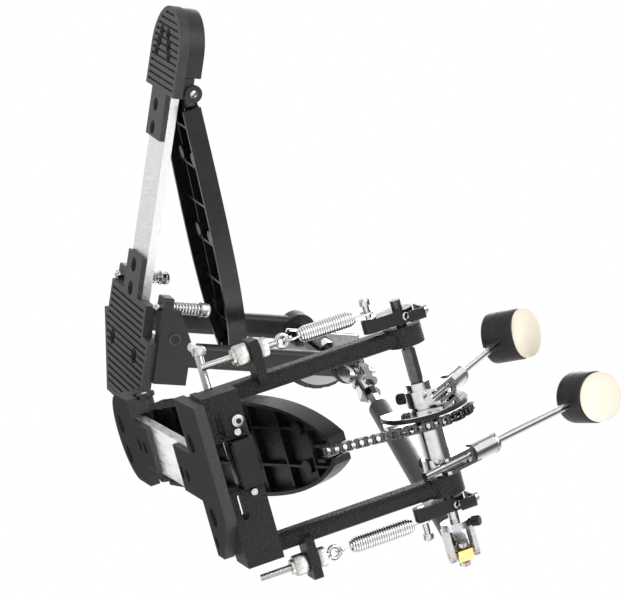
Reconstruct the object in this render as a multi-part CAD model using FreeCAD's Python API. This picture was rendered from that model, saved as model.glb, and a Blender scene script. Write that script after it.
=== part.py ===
import FreeCAD, Part
import math
import os

V = FreeCAD.Vector
X_DIR = V(1, 0, 0)
Y_DIR = V(0, 1, 0)
Z_DIR = V(0, 0, 1)

# Driving sizes in millimetres. X is to the player's right, Y to the drum, Z up from the floor.
axle_height = 175.0
run_gap = 0.05
slide_gap = 0.08
chain_gap = 0.08

# Frame
post_x = 59.0
post_width = 13.0
post_depth = 20.0
post_round = 5.0
hub_r = 14.0
hub_length = 15.0
bearing_r = 9.0
axle_r = 4.0
hex_flats = 9.0
wall_back = 6.0
wall_front = 24.0
wall_top = 36.0
sill_back = -9.0
sill_top = 13.0
wall_slot_z = 16.5
wall_slot_width = 5.0
wall_slot_length = 20.0
wall_slot_x = (42.0, -20.0)
wall_bolt_r = 3.4
wall_bolt_at = ((42.6, 30.0),)
tab_share = 0.32
tab_bottom = axle_height * tab_share
tab_t = 7.0
tab_top = tab_bottom + tab_t
tab_back = -7.0
tab_front = 15.0
tab_reach = 93.0
tab_round = 3.0

# Base
plate_t = 8.0
tongue_t = 4.0
tongue_half = 18.5
plate_half = 62.0
plate_back = -30.0
plate_front = 28.5
plate_cut_front_x = -27.0
plate_cut_side_y = -12.0
front_tongue_end = -80.0
sole_hole_depth = 3.0
main_plate_holes = ((28.8, -14.0, 7.5), (-28.5, -9.5, 7.5), (-50.0, -21.0, 4.5), (-3.0, -57.0, 5.0),
                    (-3.0, -73.5, 5.0))
main_heel_holes = ((9.7, -253.0, 7.5), (-15.9, -253.0, 7.5), (0.0, -202.0, 5.0), (0.0, -184.0, 5.0))
bar_half = 20.0
bar_t = 7.0
bar_back = -225.0
bar_front = -20.0
heel_half = 36.0
heel_front = -205.0
heel_side_end = -240.0
heel_back = -274.0
heel_tongue_end = -162.0
heel_block_inset = 1.0
heel_block_front = -223.0
heel_block_top = 21.5

# Footboard and its hinge
hinge_y = -210.0
hinge_z = 17.0
board_centre = -4.0
board_half_at = ((14.0, 33.0), (70.0, 37.0), (125.0, 38.5), (176.0, 35.0), (212.0, 25.5),
                 (239.0, 10.5))
board_plate_low = 2.5
board_plate_t = 3.0
board_wall_t = 3.0
board_wall_low = -10.0
barrel_r = 5.5
barrel_half = 21.5
ear_gap = 0.5
ear_inner = barrel_half + ear_gap
ear_outer = 33.0
ear_back = -222.0
hinge_pin_r = 3.0
hinge_head_r = 5.0
hinge_head_t = 3.0
rib_t = 2.0
rib_depth = 6.0
rib_first = 34.0
rib_pitch = 34.0
rib_count = 6
long_rib_x = 15.0
long_rib_end = 226.0
boss_r = 5.5
boss_depth = 8.0
boss_at = (60.0, 128.0, 196.0)
tip_notch_half = 4.6
tip_notch_start = 212.0

# Chain and cam
chain_x = -5.0
pitch = 6.35
cam_pitch_r = 35.0
run_lean = 21.7
run_links = 12
wrap_links = 8
main_free_links = 5
slave_free_links = 3
link_r = 2.6
link_plate_t = 0.75
inner_face = 1.6
outer_face = 2.6
pin_r = 1.15
pin_half = 3.8
bush_r = 1.65
cam_rim_gap = 0.35
cam_t = 2.6
cam_drum_r = 33.0
cam_drum_end = 3.0
cam_back = -12.0
cam_hub_r = 9.5
cam_hub_end = 22.0
anchor_gap = 0.8
anchor_t = 2.5
anchor_length = 9.0
anchor_low = -12.0
anchor_depth = -7.487

# Beaters
beater_1_x = 10.5
beater_1_lean = 48.5
beater_1_tail = 16.0
beater_2_x = -43.0
beater_2_lean = 24.0
beater_2_tail = 28.0
beater_offset = 13.2
beater_reach = 147.0
rod_r = 3.0
clamp_half = 6.2
clamp_ring = 2.5
clamp_arm_low = -8.0
clamp_arm_high = 28.0
clamp_arm_front = 18.5
clamp_slot_half = 3.8
clamp_slot_end = 14.0
socket_r = 7.6
socket_low = 21.0
socket_high = 46.0
key_bolt_r = 3.6
key_bolt_end = 19.0
head_r = 20.0
head_back = 13.0
head_front = 14.0
felt_r = 19.5
felt_edge = 5.0
felt_depth = 13.0
rod_into_head = 8.0

# Axles and rockers
main_axle_end = 86.0
main_axle_inner = -40.0
hex_start = 22.3
hex_end = 48.0
sleeve_r = 9.8
sleeve_start = -10.0
sleeve_end = -50.0
rocker_inner = 69.0
rocker_outer = 79.0
rocker_r = 11.0
rocker_pin_boss = 6.5
rocker_pin_y = 4.0
rocker_pin_drop = 24.0
spring_pin_r = 2.5
spring_pin_end = 90.0
spring_pin_head_r = 4.0
spring_pin_head_t = 3.0

# Return springs and eyebolts
right_spring_x = 84.0
left_spring_x = -80.0
spring_mean_r = 5.35
spring_wire_r = 0.9
spring_curl_rise = 3.14
right_spring_rise = 33.0
right_spring_drop = 11.0
left_spring_rise = 28.0
left_spring_drop = 9.0
right_spring_low = tab_top + right_spring_rise
right_spring_top = axle_height - rocker_pin_drop - right_spring_drop
left_spring_low = tab_top + left_spring_rise
left_spring_top = axle_height - rocker_pin_drop - left_spring_drop
spring_bend = 4.0
hook_gap = 0.3
spring_leg = 6.0
eye_major = 4.5
eye_minor = 1.6
eyebolt_r = 2.5
eyebolt_low = 19.0
nut_low_r = 8.0
nut_low_t = 13.0
nut_high_r = 7.5
nut_high_t = 8.0

# Hoop clamp
mouth_left = -7.5
mouth_right = 30.5
jaw_side_gap = 1.0
jaw_low = 20.0
jaw_high = 36.0
jaw_front = 30.0
jaw_tail = -8.0
jaw_tail_low = 27.0
jaw_pin_y = 14.0
jaw_pin_z = 29.0
jaw_pin_r = 3.0
jaw_pin_bite = 7.0
t_screw_y = -2.0
t_screw_z = 21.0
t_screw_r = 3.0
t_screw_tip = 12.0
t_screw_cone = 10.0
t_screw_end = 97.0
t_bar_half = 13.0

# Cross joints and drive shaft
joint_b = V(-114.0, 0.0, axle_height)
joint_a = V(-16.9, -255.8, 202.8)
slave_joint_x = 94.0
slave_yaw = 99.35
slave_roll = -0.91
slave_pitch = -22.31
yoke_start = 20.0
yoke_hub_b = 5.5
yoke_hub_a = 6.5
yoke_r = 11.5
yoke_arm_in = 8.0
yoke_arm_half = 5.5
cross_half = 5.0
cross_height = 5.8
cross_pin_r = 2.2
fork_start = 18.0
fork_bridge = 6.0
fork_bridge_half = 5.0
fork_arm_in = 7.0
fork_arm_out = 10.5
fork_arm_half = 3.2
fork_boss_r = 4.5
fork_hub_r = 8.0
fork_hub_end = 30.0
spigot_r = 6.5
spigot_end = 45.0
tube_r = 8.5
tube_end = 224.0
tube_bevel = 2.0
rod_in_tube = 168.0

# Slave pedal
spur_at = ((57.0, -38.0), (-50.0, -38.0))
spur_ear_half = 9.0
spur_ear_back = -47.0
spur_ear_top = 16.0
spur_r = 3.0
spur_tip = 1.5
spur_head_low = 42.0
spur_head_t = 6.0
spur_head_r = 5.5
spur_spring_r = 4.7
spur_wire_r = 0.65
spur_curls = 8
spur_spring_low = 17.15
spur_spring_top = 40.85
slave_axle_left = -70.0
bracket_back = -38.0
bracket_low_top = 22.0
bracket_top = 42.0
slave_plate = ((62.0, -9.0), (62.0, 54.0), (-23.0, 54.0), (-59.0, -8.0), (-49.0, -11.0), (-49.0, -35.0),
               (44.0, -35.0), (46.0, -10.0))
slave_front_tongue_end = -68.0
groove_depth = 1.2
groove_width = 1.9
groove_pitch = 5.3
groove_margin = 4.0
slave_plate_grooves = (-30.0, 50.0)
slave_heel_grooves = (-269.0, -208.0)
slave_plate_holes = ((31.2, 10.2, 6.5), (-28.2, 9.7, 6.5), (-1.0, -58.5, 6.0), (-1.0, -38.8, 6.0))
slave_heel_tongue_end = -166.0
slave_heel_holes = ((-20.9, -234.5, 5.0), (-17.5, -243.0, 5.5), (-14.2, -251.5, 5.0), (10.5, -234.5, 5.0),
                    (6.3, -243.0, 5.5), (2.2, -251.5, 5.0), (-4.0, -192.5, 5.5), (-4.0, -173.5, 5.5))


def box(x0, x1, y0, y1, z0, z1):
    return Part.makeBox(x1 - x0, y1 - y0, z1 - z0, V(x0, y0, z0))


def soft_box(x0, x1, y0, y1, z0, z1, radius, along):
    body = box(x0, x1, y0, y1, z0, z1)
    edges = []
    for edge in body.Edges:
        run = edge.Vertexes[1].Point.sub(edge.Vertexes[0].Point)
        if abs(run.normalize().dot(along)) > 0.99:
            edges.append(edge)
    return body.makeFillet(radius, edges)


def rod(start, direction, radius, length):
    return Part.makeCylinder(radius, length, start, direction)


def rod_x(x0, x1, y, z, radius):
    return rod(V(x0, y, z), X_DIR, radius, x1 - x0)


def face_of(points):
    return Part.Face(Part.makePolygon(points + [points[0]]))


def plan_prism(points, z0, z1):
    return face_of([V(x, y, z0) for x, y in points]).extrude(V(0, 0, z1 - z0))


def side_prism(points, x0, x1):
    return face_of([V(x0, y, z) for y, z in points]).extrude(V(x1 - x0, 0, 0))


def hex_x(x0, x1, y, z, flats):
    corner = flats / math.sqrt(3)
    turns = [math.radians(60 * k) for k in range(6)]
    points = [(y + corner * math.cos(a), z + corner * math.sin(a)) for a in turns]
    return side_prism(points, x0, x1)


def fuse(shapes):
    return shapes[0].multiFuse(shapes[1:]).removeSplitter()


def cut(body, tools):
    for tool in tools:
        body = body.cut(tool)
    return body


def placed(shape, place):
    moved = shape.copy()
    moved.Placement = place.multiply(moved.Placement)
    return moved


def turned(shape, centre, degrees):
    moved = shape.copy()
    moved.rotate(centre, X_DIR, degrees)
    return moved


def axes_placement(origin, x_dir, y_dir):
    z_dir = x_dir.cross(y_dir)
    matrix = FreeCAD.Matrix(
        x_dir.x, y_dir.x, z_dir.x, origin.x,
        x_dir.y, y_dir.y, z_dir.y, origin.y,
        x_dir.z, y_dir.z, z_dir.z, origin.z,
        0, 0, 0, 1)
    return FreeCAD.Placement(matrix)


slave_turn = FreeCAD.Rotation(Z_DIR, slave_yaw).multiply(FreeCAD.Rotation(Y_DIR, slave_roll))
slave_turn = slave_turn.multiply(FreeCAD.Rotation(X_DIR, slave_pitch))
slave_origin = joint_a.sub(slave_turn.multVec(V(slave_joint_x, 0, axle_height)))
slave_place = FreeCAD.Placement(slave_origin, slave_turn)
axle_centre = V(0, 0, axle_height)

os.makedirs("parts", exist_ok=True)


def put(name, shape):
    shape.exportStep("parts/" + name + ".step")


def put_slave(name, shape):
    put(name, placed(shape, slave_place))


# Frame: two posts with axle hubs on a low front wall
def pedal_frame():
    end = post_x + post_width / 2
    shapes = [box(-end, end, wall_back, wall_front, plate_t, wall_top),
              box(-end, end, sill_back, wall_back, plate_t, sill_top)]
    for side in (-1, 1):
        x0 = side * post_x - post_width / 2
        shapes.append(soft_box(x0, x0 + post_width, -post_depth / 2, post_depth / 2, plate_t,
                               axle_height, post_round, Z_DIR))
        h0 = side * post_x - hub_length / 2
        shapes.append(rod_x(h0, h0 + hub_length, 0, axle_height, hub_r))
    body = fuse(shapes)
    bores = []
    for side in (-1, 1):
        h0 = side * post_x - hub_length / 2
        bores.append(rod_x(h0, h0 + hub_length, 0, axle_height, bearing_r))
    for x in wall_slot_x:
        half = wall_slot_length / 2
        low = wall_slot_z - wall_slot_width / 2
        bores.append(soft_box(x - half, x + half, wall_back - 1, wall_front + 1, low,
                              low + wall_slot_width, wall_slot_width * 0.4, Y_DIR))
    return cut(body, bores)


def bearings():
    rings = []
    for side in (-1, 1):
        h0 = side * post_x - hub_length / 2
        ring = rod_x(h0, h0 + hub_length, 0, axle_height, bearing_r)
        rings.append(ring.cut(rod_x(h0, h0 + hub_length, 0, axle_height, axle_r + run_gap)))
    return Part.Compound(rings)


spring_pin_z = axle_height - rocker_pin_drop
tabs = []
tab_holes = []
for side in (-1, 1):
    near = side * (post_x + post_width / 2 - post_round - 1)
    far = side * tab_reach
    tabs.append(soft_box(min(near, far), max(near, far), tab_back, tab_front, tab_bottom, tab_top,
                         tab_round, Z_DIR))
for x in (right_spring_x, left_spring_x):
    tab_holes.append(rod(V(x, rocker_pin_y, tab_bottom - 1), Z_DIR, eyebolt_r + 0.1, tab_t + 2))
t_screw_hole = rod_x(post_x - post_width, post_x + post_width, t_screw_y, t_screw_z, t_screw_r + slide_gap)
jaw_pin = rod_x(mouth_left - jaw_pin_bite, mouth_right + jaw_pin_bite, jaw_pin_y, jaw_pin_z, jaw_pin_r)
mouth = box(mouth_left, mouth_right, wall_back, wall_front + 1, plate_t - 1, wall_top + 1)
wall_bolts = []
for x, z in wall_bolt_at:
    wall_bolts.append(rod(V(x, wall_front - 1, z), Y_DIR, wall_bolt_r, wall_bolt_r))
trunnion_hole = rod_x(mouth_left - jaw_pin_bite - 1, mouth_right + jaw_pin_bite + 1, jaw_pin_y, jaw_pin_z,
                      jaw_pin_r + run_gap)
frame_holes = tab_holes + [mouth, t_screw_hole, trunnion_hole]
main_frame = cut(fuse([pedal_frame()] + tabs + wall_bolts), frame_holes)
put("main_frame", main_frame)
put("main_bearings", bearings())

# Hoop clamp: jaw turning on trunnions, worked by the cone of the side T-screw
jaw_left = mouth_left + jaw_side_gap
jaw_right = mouth_right - jaw_side_gap
jaw_body = fuse([box(jaw_left, jaw_right, wall_back, jaw_front, jaw_low, jaw_high),
                 box(jaw_left, jaw_right, jaw_tail, wall_back, jaw_tail_low, jaw_high)])
put("hoop_jaw", fuse([jaw_body, jaw_pin]))
t_cone = Part.makeCone(t_screw_r / 3, t_screw_r, t_screw_cone, V(t_screw_tip, t_screw_y, t_screw_z), X_DIR)
t_shank = rod_x(t_screw_tip + t_screw_cone, t_screw_end, t_screw_y, t_screw_z, t_screw_r)
t_bar = rod(V(t_screw_end, t_screw_y - t_bar_half, t_screw_z), Y_DIR, t_screw_r, 2 * t_bar_half)
put("t_screw", fuse([t_cone, t_shank, t_bar]))

# Base: front plate, heel plate and the bar let into both
bar = box(-bar_half, bar_half, bar_back, bar_front, tongue_t, tongue_t + bar_t)


def sole_holes(spots):
    return [rod(V(x, y, -1), Z_DIR, r, sole_hole_depth + 1) for x, y, r in spots]


main_plate = ((plate_half, plate_back), (plate_half, plate_front), (plate_cut_front_x, plate_front),
              (-plate_half, plate_cut_side_y), (-plate_half, plate_back))


def sole_grooves(face, ends):
    room = face.makeOffset2D(-groove_margin).extrude(V(0, 0, groove_depth))
    grooves = []
    for k in range(int((ends[1] - ends[0]) / groove_pitch) + 1):
        y = ends[0] + k * groove_pitch
        strip = box(-2 * plate_half, 2 * plate_half, y, y + groove_width, 0, groove_depth)
        grooves.append(strip.common(room))
    return grooves


def grip_plate(outline, tongue_end, holes):
    tongue = box(-tongue_half, tongue_half, tongue_end, plate_back + 1, 0, tongue_t)
    body = fuse([plan_prism(outline, 0, plate_t), tongue])
    return cut(body, sole_holes(holes) + [bar])


def heel_face(inset, front, z0):
    half = heel_half - inset
    rim = [V(half, front, z0), V(-half, front, z0), V(-half, heel_side_end, z0), V(half, heel_side_end, z0)]
    arc = Part.Arc(rim[2], V(0, heel_back + inset, z0), rim[3]).toShape()
    edges = [Part.makeLine(rim[0], rim[1]), Part.makeLine(rim[1], rim[2]), arc,
             Part.makeLine(rim[3], rim[0])]
    return Part.Face(Part.Wire(edges))


def heel_plate(tongue_end, holes):
    plate = heel_face(0, heel_front, 0).extrude(V(0, 0, plate_t))
    tongue = box(-tongue_half, tongue_half, heel_front - 1, tongue_end, 0, tongue_t)
    block = heel_face(heel_block_inset, heel_block_front, plate_t)
    block = block.extrude(V(0, 0, heel_block_top - plate_t))
    ears = []
    for side in (-1, 1):
        x0 = min(side * ear_inner, side * ear_outer)
        ears.append(box(x0, x0 + ear_outer - ear_inner, ear_back, heel_front, plate_t, hinge_z))
        ears.append(rod_x(x0, x0 + ear_outer - ear_inner, hinge_y, hinge_z, barrel_r))
    body = fuse([plate, tongue, block] + ears)
    bore = rod_x(-heel_half, heel_half, hinge_y, hinge_z, hinge_pin_r)
    return cut(body, sole_holes(holes) + [bar, bore])


def hinge_pin():
    shank = rod_x(-ear_outer, ear_outer, hinge_y, hinge_z, hinge_pin_r)
    heads = []
    for side in (-1, 1):
        x0 = min(side * ear_outer, side * (ear_outer + hinge_head_t))
        heads.append(rod_x(x0, x0 + hinge_head_t, hinge_y, hinge_z, hinge_head_r))
    return fuse([shank] + heads)


# Footboard, drawn flat from the hinge and turned up to its rest angle
hinge_point = V(0, hinge_y, hinge_z)
tangent_angle = math.radians(-run_lean)
tangent_y = cam_pitch_r * math.cos(tangent_angle)
tangent_z = axle_height + cam_pitch_r * math.sin(tangent_angle)
run_dir = V(0, math.sin(math.radians(run_lean)), math.cos(math.radians(run_lean)))
tangent_point = V(chain_x, tangent_y, tangent_z)
anchor_point = tangent_point.sub(V(run_dir).multiply(pitch * run_links))
anchor_arm = anchor_point.sub(V(chain_x, hinge_y, hinge_z))
board_rise = math.atan2(anchor_arm.z, anchor_arm.y) - math.asin(anchor_depth / anchor_arm.Length)
board_angle = math.degrees(board_rise)
board_cos = math.cos(board_rise)
board_sin = math.sin(board_rise)
anchor_along = anchor_arm.y * board_cos + anchor_arm.z * board_sin


def board_flat(t, h):
    return (hinge_y + t, hinge_z + h)


def board_box(x0, x1, t0, t1, h0, h1):
    y0, z0 = board_flat(t0, h0)
    y1, z1 = board_flat(t1, h1)
    return box(x0, x1, y0, y1, z0, z1)


def board_outline(inset, z0, z1):
    right = []
    left = []
    for t, half in board_half_at:
        along = t + inset if t == board_half_at[0][0] else t
        along = t - inset if t == board_half_at[-1][0] else along
        right.append(V(board_centre + half - inset, hinge_y + along, z0))
        left.append(V(board_centre - half + inset, hinge_y + along, z0))
    sides = []
    for points in (right, left):
        curve = Part.BSplineCurve()
        curve.interpolate(points)
        sides.append(curve.toShape())
    ends = [Part.makeLine(right[-1], left[-1]), Part.makeLine(left[0], right[0])]
    wire = Part.Wire(Part.__sortEdges__([sides[0], ends[0], sides[1], ends[1]]))
    return Part.Face(wire).extrude(V(0, 0, z1 - z0))


def footboard():
    low = hinge_z + board_wall_low
    under = hinge_z + board_plate_low
    top = under + board_plate_t
    start = board_half_at[0][0]
    half = board_half_at[0][1] - board_wall_t
    length = board_half_at[-1][0]
    shell = board_outline(0, low, top).cut(board_outline(board_wall_t, low - 1, under))
    shell = shell.cut(board_box(board_centre - half, board_centre + half, start - 1, start + board_wall_t + 1,
                                board_wall_low - 1, board_plate_low))
    bridge = board_box(-barrel_half, barrel_half, 0, start + 1, board_plate_low,
                       board_plate_low + board_plate_t)
    barrel = rod_x(-barrel_half, barrel_half, hinge_y, hinge_z, barrel_r)
    ribs = []
    rib_low = board_plate_low - rib_depth
    for k in range(rib_count):
        t = rib_first + k * rib_pitch
        ribs.append(board_box(-2 * half, 2 * half, t, t + rib_t, rib_low, board_plate_low + 1))
    for side in (-1, 1):
        x = board_centre + side * long_rib_x
        ribs.append(board_box(x - rib_t / 2, x + rib_t / 2, start + 2, long_rib_end, rib_low,
                              board_plate_low + 1))
        for t in boss_at:
            y, z = board_flat(t, board_plate_low - boss_depth)
            ribs.append(rod(V(x, y, z), Z_DIR, boss_r, boss_depth + 1))
    inside = board_outline(board_wall_t / 2, low, top)
    body = fuse([shell, bridge, barrel] + [rib.common(inside) for rib in ribs])
    bore = rod_x(-barrel_half, barrel_half, hinge_y, hinge_z, hinge_pin_r + run_gap)
    notch = board_box(chain_x - tip_notch_half, chain_x + tip_notch_half, tip_notch_start, length + 1,
                      board_wall_low - 1, board_plate_low + board_plate_t + 1)
    return turned(cut(body, [bore, notch]), hinge_point, board_angle)


def chain_anchor():
    cheeks = []
    for side in (-1, 1):
        near = chain_x + side * (pin_half + anchor_gap)
        far = near + side * anchor_t
        cheeks.append(board_box(min(near, far), max(near, far), anchor_along - anchor_length / 2,
                                anchor_along + anchor_length / 2, anchor_low, board_plate_low))
    y, z = board_flat(anchor_along, anchor_depth)
    reach = pin_half + anchor_gap + anchor_t
    bore = rod_x(chain_x - reach, chain_x + reach, y, z, pin_r + chain_gap)
    return turned(Part.Compound(cheeks).cut(bore), hinge_point, board_angle)


# Chain: outer links carry the pins, inner links carry the bushes
def link_plate(p, q, x0, bored):
    along = q.sub(p)
    length = along.Length
    place = axes_placement(V(0, p.y, p.z), X_DIR, along.normalize())
    side = [V(x0, 0, link_r), V(x0, length, link_r), V(x0, length, -link_r), V(x0, 0, -link_r)]
    edges = [Part.makeLine(side[0], side[1]),
             Part.Arc(side[1], V(x0, length + link_r, 0), side[2]).toShape(),
             Part.makeLine(side[2], side[3]),
             Part.Arc(side[3], V(x0, -link_r, 0), side[0]).toShape()]
    plate = Part.Face(Part.Wire(edges)).extrude(V(link_plate_t, 0, 0))
    if bored:
        for y in (0, length):
            plate = plate.cut(rod_x(x0 - 1, x0 + link_plate_t + 1, y, 0, pin_r + chain_gap))
    return placed(plate, place)


def outer_link(p, q, riveted=True):
    left = chain_x - pin_half
    right = chain_x + pin_half
    shapes = [link_plate(p, q, chain_x + outer_face, False),
              link_plate(p, q, chain_x - outer_face - link_plate_t, False),
              rod_x(left, right, p.y, p.z, pin_r)]
    if riveted:
        shapes.append(rod_x(left, right, q.y, q.z, pin_r))
    else:
        shapes.append(rod_x(left, chain_x - outer_face, q.y, q.z, pin_r))
        shapes.append(rod_x(chain_x + outer_face, right, q.y, q.z, pin_r))
    return Part.Compound(fuse(shapes).Solids)


def inner_link(p, q):
    shapes = [link_plate(p, q, chain_x + inner_face, True),
              link_plate(p, q, chain_x - inner_face - link_plate_t, True)]
    for end in (p, q):
        left = chain_x - inner_face
        right = chain_x + inner_face
        bush = rod_x(left, right, end.y, end.z, bush_r)
        shapes.append(bush.cut(rod_x(left, right, end.y, end.z, pin_r + chain_gap)))
    return fuse(shapes)


link_step = 2 * math.asin(pitch / 2 / cam_pitch_r)


def wrap_point(k):
    angle = tangent_angle + k * link_step
    return V(chain_x, cam_pitch_r * math.cos(angle), axle_height + cam_pitch_r * math.sin(angle))


def run_point(k):
    return tangent_point.sub(V(run_dir).multiply(pitch * k))


def wound_chain(free):
    links = []
    for k in range(wrap_links - free):
        make = inner_link if k % 2 == 0 else outer_link
        links.append(make(wrap_point(free + k), wrap_point(free + k + 1)))
    return Part.Compound(links)


def free_link(free, number):
    p = wrap_point(free - number + 1)
    q = wrap_point(free - number)
    if number % 2 == 0:
        return inner_link(p, q)
    return outer_link(p, q, number < free)


def chain_run():
    links = []
    for k in range(run_links):
        make = inner_link if k % 2 == 0 else outer_link
        links.append(make(run_point(k), run_point(k + 1)))
    reach = pin_half + anchor_gap + anchor_t
    end = run_point(run_links)
    links[-1] = fuse([links[-1], rod_x(chain_x - reach, chain_x + reach, end.y, end.z, pin_r)])
    return Part.Compound(links)


def cam_disc():
    rim = cam_pitch_r - bush_r - cam_rim_gap
    disc = rod_x(chain_x - cam_t / 2, chain_x + cam_t / 2, 0, axle_height, rim)
    kept = box(chain_x - cam_t, chain_x + cam_t, cam_back, rim, axle_height - rim, axle_height + rim)
    return disc.common(kept)


def cam():
    hub = rod_x(chain_x - cam_t / 2, cam_hub_end, 0, axle_height, cam_hub_r)
    drum_start = chain_x + pin_half + cam_rim_gap
    drum = rod_x(drum_start, cam_drum_end, 0, axle_height, cam_drum_r)
    kept = box(drum_start, cam_drum_end, cam_back, cam_drum_r, axle_height - cam_drum_r,
               axle_height + cam_drum_r)
    body = fuse([cam_disc(), drum.common(kept), hub])
    return body.cut(rod_x(chain_x - cam_t, cam_hub_end + 1, 0, axle_height, axle_r))


# Main pedal base, board and chain
put("main_grip_plate", grip_plate(main_plate, front_tongue_end, main_plate_holes))
put("main_heel", heel_plate(heel_tongue_end, main_heel_holes))
put("main_bar", bar)
put("main_hinge_pin", hinge_pin())
put("main_board", footboard())
put("main_anchor", chain_anchor())
put("main_cam", cam())
put("main_wound_chain", wound_chain(main_free_links))
for number in range(1, main_free_links + 1):
    put("main_link_" + str(number), free_link(main_free_links, number))
put("main_chain_run", chain_run())

# Main axle, and the left axle whose sleeve runs on the main axle's end
main_axle = fuse([rod_x(main_axle_inner, main_axle_end, 0, axle_height, axle_r),
                  hex_x(hex_start, hex_end, 0, axle_height, hex_flats)])
put("main_axle", main_axle)
left_axle_end = joint_b.x + yoke_start
left_axle_start = main_axle_inner - 1.0
left_axle = fuse([rod_x(left_axle_end, left_axle_start, 0, axle_height, axle_r),
                  rod_x(sleeve_end, sleeve_start, 0, axle_height, sleeve_r)])
put("left_axle", left_axle.cut(rod_x(left_axle_start, sleeve_start + 1, 0, axle_height, axle_r + run_gap)))


# Beaters, drawn upright over the axle and leaned back
def beater_parts(number, x, lean, tail, hub):
    z = axle_height
    front = beater_offset
    shaft = rod(V(x, front, z - tail), Z_DIR, rod_r, tail + beater_reach + rod_into_head)
    ring = rod_x(x - clamp_half, x + clamp_half, 0, z, hub + clamp_ring)
    arm = soft_box(x - clamp_half, x + clamp_half, 0, clamp_arm_front, z + clamp_arm_low, z + clamp_arm_high,
                   clamp_half / 2, X_DIR)
    socket = rod(V(x, front, z + socket_low), Z_DIR, socket_r, socket_high - socket_low)
    bolt = rod(V(x, -key_bolt_end, z), Y_DIR, key_bolt_r, key_bolt_end)
    bore = rod(V(x, front, z - 2 * tail), Z_DIR, rod_r + slide_gap, 2 * tail + socket_high + 1)
    slot = box(x - clamp_slot_half, x + clamp_slot_half, front, clamp_arm_front + 1, z + clamp_arm_low - 1,
               z + clamp_slot_end)
    slot_end = rod(V(x, front, z + clamp_slot_end), Y_DIR, clamp_slot_half, clamp_arm_front + 1 - front)
    core = rod_x(x - 2 * clamp_half, x + 2 * clamp_half, 0, z, hub + 0.01)
    clamp = cut(fuse([ring, arm, socket, bolt]), [bore, slot, slot_end, core])
    head_z = z + beater_reach
    head = rod(V(x, front - head_back, head_z), Y_DIR, head_r, head_back + head_front).cut(shaft)
    felt = felt_face(V(x, front + head_front, head_z))
    pieces = {"clamp": clamp, "rod": shaft, "head": head, "felt": felt}
    for name in pieces:
        put("beater_" + str(number) + "_" + name, turned(pieces[name], axle_centre, lean))


def felt_face(back):
    dome = felt_depth - felt_edge
    ball = (felt_r ** 2 + dome ** 2) / (2 * dome)
    mid = math.asin(felt_r / ball) / 2
    rim = V(felt_r, felt_edge, 0)
    half_way = V(ball * math.sin(mid), felt_depth - ball + ball * math.cos(mid), 0)
    tip = V(0, felt_depth, 0)
    edges = [Part.makeLine(V(0, 0, 0), V(felt_r, 0, 0)), Part.makeLine(V(felt_r, 0, 0), rim),
             Part.Arc(rim, half_way, tip).toShape(), Part.makeLine(tip, V(0, 0, 0))]
    body = Part.Face(Part.Wire(edges)).revolve(V(0, 0, 0), Y_DIR, 360)
    body.translate(back)
    return body


beater_parts(1, beater_1_x, beater_1_lean, beater_1_tail, cam_hub_r)
beater_parts(2, beater_2_x, beater_2_lean, beater_2_tail, sleeve_r)


# Rockers on the axle ends with the screws that the springs hang on
def rocker(side):
    x0 = min(side * rocker_inner, side * rocker_outer)
    x1 = x0 + rocker_outer - rocker_inner
    neck = [(-rocker_r * 0.9, axle_height), (rocker_pin_y - rocker_pin_boss, spring_pin_z),
            (rocker_pin_y + rocker_pin_boss, spring_pin_z), (rocker_r * 0.9, axle_height)]
    body = fuse([rod_x(x0, x1, 0, axle_height, rocker_r), side_prism(neck, x0, x1),
                 rod_x(x0, x1, rocker_pin_y, spring_pin_z, rocker_pin_boss)])
    return cut(body, [rod_x(x0, x1, 0, axle_height, axle_r),
                      rod_x(x0, x1, rocker_pin_y, spring_pin_z, spring_pin_r)])


def spring_screw(side):
    x0 = min(side * rocker_inner, side * spring_pin_end)
    shank = rod_x(x0, x0 + spring_pin_end - rocker_inner, rocker_pin_y, spring_pin_z, spring_pin_r)
    h0 = min(side * spring_pin_end, side * (spring_pin_end + spring_pin_head_t))
    head = rod_x(h0, h0 + spring_pin_head_t, rocker_pin_y, spring_pin_z, spring_pin_head_r)
    return fuse([shank, head])


put("right_rocker", rocker(1))
put("left_rocker", rocker(-1))
put("right_spring_screw", spring_screw(1))
put("left_spring_screw", spring_screw(-1))


# Springs: one unbroken wire through each path of points and directions
def biarc(p1, t1, p2, t2):
    v = p2.sub(p1)
    t = t1.add(t2)
    k = 2 * (1 - t1.dot(t2))
    vt = v.dot(t)
    if k < 1e-9:
        d = v.Length / 2
    else:
        d = (-vt + math.sqrt(vt * vt + k * v.dot(v))) / k
    q1 = p1.add(V(t1).multiply(d))
    q2 = p2.sub(V(t2).multiply(d))
    pm = q1.add(q2).multiply(0.5)
    return [arc_edge(p1, q1, pm, d), arc_edge(pm, q2, p2, d)]


def arc_edge(a, q, b, d):
    chord = b.sub(a)
    c = a.add(b).multiply(0.5)
    rise = q.sub(c)
    if rise.Length < 1e-6:
        return Part.makeLine(a, b)
    alpha = math.acos(min(1.0, chord.Length / (2 * d)))
    m = c.add(rise.normalize().multiply(chord.Length / 2 * math.tan(alpha / 2)))
    return Part.Arc(a, m, b).toShape()


def helix_stations(x, y, z0, z1, radius, first, last):
    steps = round((last - first) / (math.pi / 2))
    rise = (z1 - z0) / (last - first)
    stations = []
    for k in range(steps + 1):
        a = first + (last - first) * k / steps
        point = V(x + radius * math.sin(a), y + radius * math.cos(a), z0 + rise * (a - first))
        slope = V(radius * math.cos(a), -radius * math.sin(a), rise).normalize()
        stations.append((point, slope))
    return stations


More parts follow.
